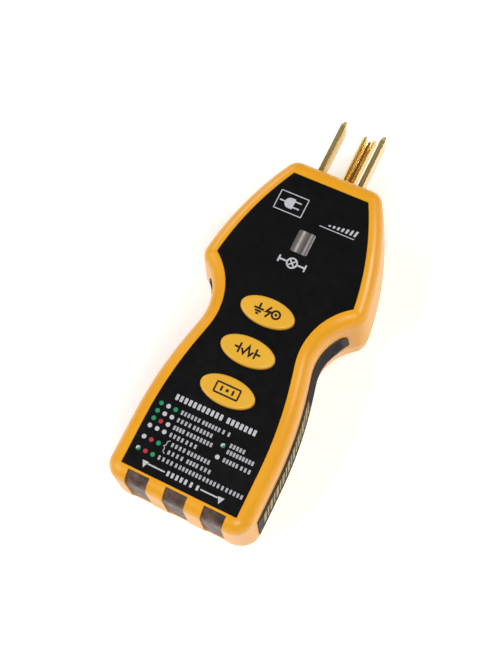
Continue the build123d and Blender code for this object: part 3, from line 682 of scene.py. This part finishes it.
def grip_band(points, faces, samples, half_wide, rise):
    """A raised bead with a round top along samples of (point, normal, lengthwise direction)."""
    rings = []
    last = len(samples) - 1
    for i, (point, normal, along) in enumerate(samples):
        taper = min(1.0, 0.15 + 1.2 * min(i, last - i) / 3)
        across = normal.cross(along).normalized()
        rings.append(len(points))
        for side, lift in BEAD_PROFILE:
            lift = lift * taper if lift > 0 else lift
            points.append(point + across * side * half_wide * MM + normal * lift * rise * MM)
    count = len(BEAD_PROFILE)
    for a, b in zip(rings, rings[1:]):
        for k in range(count):
            faces.append((a + k, a + (k + 1) % count, b + (k + 1) % count, b + k))
    faces.append(tuple(range(rings[0], rings[0] + count))[::-1])
    faces.append(tuple(range(rings[-1], rings[-1] + count)))


RIB_PITCH = 0.85
RIB_STEP = 0.6
RIB_CLEAR = 0.42         # a rib stays this far from the edge of the grip
RIB_START_Y = -3.5       # the middle of the grip is ribbed from here to the nose
RIB_MIN_RUN = 7
RIB_HALF_WIDE, RIB_RISE = 0.24, 0.17
RIB_FIRST_Z, RIB_LAST_Z = 0.75, 0.5      # from the bottom and from the top of the grip
RIB_FIRST_Y = 1.2
LOW_EDGE, HIGH_EDGE = 1.2, 1.5           # ribs this near the bottom or top run the whole length


def grip_ribs(node, side, tree):
    """Fine lengthwise ribs: all over the flare, and one along each edge of the lower part."""
    low, high = (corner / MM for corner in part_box(node))
    points, faces = [], []
    z = low.z + RIB_FIRST_Z
    while z < high.z - RIB_LAST_Z:
        runs = [[]]
        y = low.y + RIB_FIRST_Y
        near_edge = z < low.z + LOW_EDGE or z > high.z - HIGH_EDGE
        while y < high.y:
            around = [(RIB_STEP, 0), (-RIB_STEP, 0), (0, RIB_CLEAR), (0, -RIB_CLEAR), (0, 0)]
            found = [on_grip(tree, side, y + dy, z + dz) for dy, dz in around]
            if None not in found and (y > RIB_START_Y or near_edge):
                runs[-1].append(found[-1])
            elif runs[-1]:
                runs.append([])
            y += RIB_STEP
        for run in runs:
            if len(run) < RIB_MIN_RUN:
                continue
            samples = []
            for i, (point, normal) in enumerate(run):
                along = run[min(i + 1, len(run) - 1)][0] - run[max(i - 1, 0)][0]
                samples.append((point, normal, along.normalized()))
            grip_band(points, faces, samples, RIB_HALF_WIDE, RIB_RISE)
        z += RIB_PITCH
    return points, faces


STRIPE_LEAN = 0.30
STRIPE_STEPS = 6
STRIPE_SKIN = (-0.02, 0.05)
STRIPE_FIRST_Y = -38.4
STRIPE_LAST_Y = -5.0
STRIPE_MARGIN = 0.22     # share of the grip's height left free below and above
STRIPES = [(1.3, 0.9), (0.7, 0.9)]       # widths in turn, each with the gap after it


def stripe_patch(points, faces, tree, side, y0, width, z_low, z_high):
    """One thin slanted patch that follows the rubber, or nothing where it would leave it."""
    grid = []
    for j in range(STRIPE_STEPS + 1):
        z = z_low + (z_high - z_low) * j / STRIPE_STEPS
        row_y = y0 + STRIPE_LEAN * (z - z_low)
        grid.append([on_grip(tree, side, row_y + width * share, z) for share in (0.0, 0.5, 1.0)])
    if any(None in row for row in grid):
        return
    start, wide = len(points), len(grid[0])
    layer = wide * len(grid)
    for lift in STRIPE_SKIN:
        for row in grid:
            points += [point + normal * lift * MM for point, normal in row]

    def at(level, j, i):
        return start + level * layer + j * wide + i

    last = len(grid) - 1
    for j in range(last):
        for i in range(wide - 1):
            quad = (at(1, j, i), at(1, j, i + 1), at(1, j + 1, i + 1), at(1, j + 1, i))
            faces.append(quad)
            faces.append(tuple(v - layer for v in quad[::-1]))
    rim = [(0, i) for i in range(wide)] + [(j, wide - 1) for j in range(1, last + 1)]
    rim += [(last, i) for i in range(wide - 2, -1, -1)] + [(j, 0) for j in range(last - 1, 0, -1)]
    for (ja, ia), (jb, ib) in zip(rim, rim[1:] + rim[:1]):
        faces.append((at(0, ja, ia), at(0, jb, ib), at(1, jb, ib), at(1, ja, ia)))


def grip_stripes(node, side, tree):
    """Slanted stripes printed along the lower part of a grip."""
    low, high = (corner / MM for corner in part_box(node))
    margin = (high.z - low.z) * STRIPE_MARGIN
    points, faces = [], []
    y, k = STRIPE_FIRST_Y, 0
    while y < STRIPE_LAST_Y:
        width, gap = STRIPES[k % len(STRIPES)]
        stripe_patch(points, faces, tree, side, y, width, low.z + margin, high.z - margin)
        y += width + gap
        k += 1
    return points, faces


for side, node in ((1, "right_grip"), (-1, "left_grip")):
    tree = surface_tree(node)
    ribs = mesh_object(f"{node}_ribs", *grip_ribs(node, side, tree), looks["grip_rubber"], smooth=True)
    stripes = mesh_object(f"{node}_stripes", *grip_stripes(node, side, tree), yellow_ink)
    for made in (ribs, stripes):
        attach(made, MAIN_BODY)


# ---------------------------------------------------------------- screws with a cross recess
AROUND = 72
HEAD_PROFILE = [(1.0, 0.0), (1.0, 0.35), (0.97, 0.58), (0.90, 0.76), (0.80, 0.89), (0.70, 0.96), (0.62, 1.0)]
CROSS_RINGS = 16
CROSS_REACH = 0.56       # the cross and its arms as shares of the head radius, its depth of the rise
CROSS_HALF = 0.13
CROSS_DEPTH = 0.62
CROSS_SLOPE = 0.10


def clamp(value):
    return max(0.0, min(1.0, value))


def pan_head(points, faces, centre, head, rise, under_z, shank_radius, shank_top):
    """Domed head looking down, with a cross recess, and its shank, at centre (x, y) in millimetres."""
    rings = []

    def ring(radius, z, cross=False):
        rings.append([len(points) + k for k in range(AROUND)])
        for k in range(AROUND):
            dx, dy = (radius * f(math.tau * k / AROUND) for f in (math.cos, math.sin))
            sunk = 0.0
            if cross:
                across, along = sorted((abs(dx) / head, abs(dy) / head))
                sunk = clamp((CROSS_HALF - across) / CROSS_SLOPE + 0.5)
                sunk = sunk * clamp((CROSS_REACH - along) / CROSS_SLOPE)
            x, y = centre[0] + dx, centre[1] + dy
            points.append((x * MM, y * MM, (z + sunk * CROSS_DEPTH * rise) * MM))

    ring(shank_radius, shank_top)
    ring(shank_radius, under_z)
    for share, drop in HEAD_PROFILE:
        ring(head * share, under_z - rise * drop)
    for k in range(CROSS_RINGS):
        ring(head * HEAD_PROFILE[-1][0] * (1 - (k + 0.8) / CROSS_RINGS), under_z - rise, cross=True)
    for a, b in zip(rings, rings[1:]):
        for k in range(AROUND):
            n = (k + 1) % AROUND
            faces.append((a[k], b[k], b[n], a[n]))
    faces.append(tuple(rings[-1][::-1]))
    faces.append(tuple(rings[0]))


low, high = (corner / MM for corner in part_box("housing_screws"))
screw_points, screw_faces = [], []
HEAD_RADIUS, HEAD_RISE, SHANK_RADIUS = 2.75, 1.8, 1.45
FOOT_SCREW_X = 15.8
for side in (-1, 1):
    for x, y in ((high.x - HEAD_RADIUS, high.y - HEAD_RADIUS), (FOOT_SCREW_X, low.y + HEAD_RADIUS)):
        pan_head(screw_points, screw_faces, (side * x, y), HEAD_RADIUS, HEAD_RISE, low.z + HEAD_RISE,
                 SHANK_RADIUS, high.z)
screws = mesh_object("housing_screws_detail", screw_points, screw_faces, looks["steel"], smooth=True)
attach(screws, MAIN_BODY)
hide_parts("housing_screws")
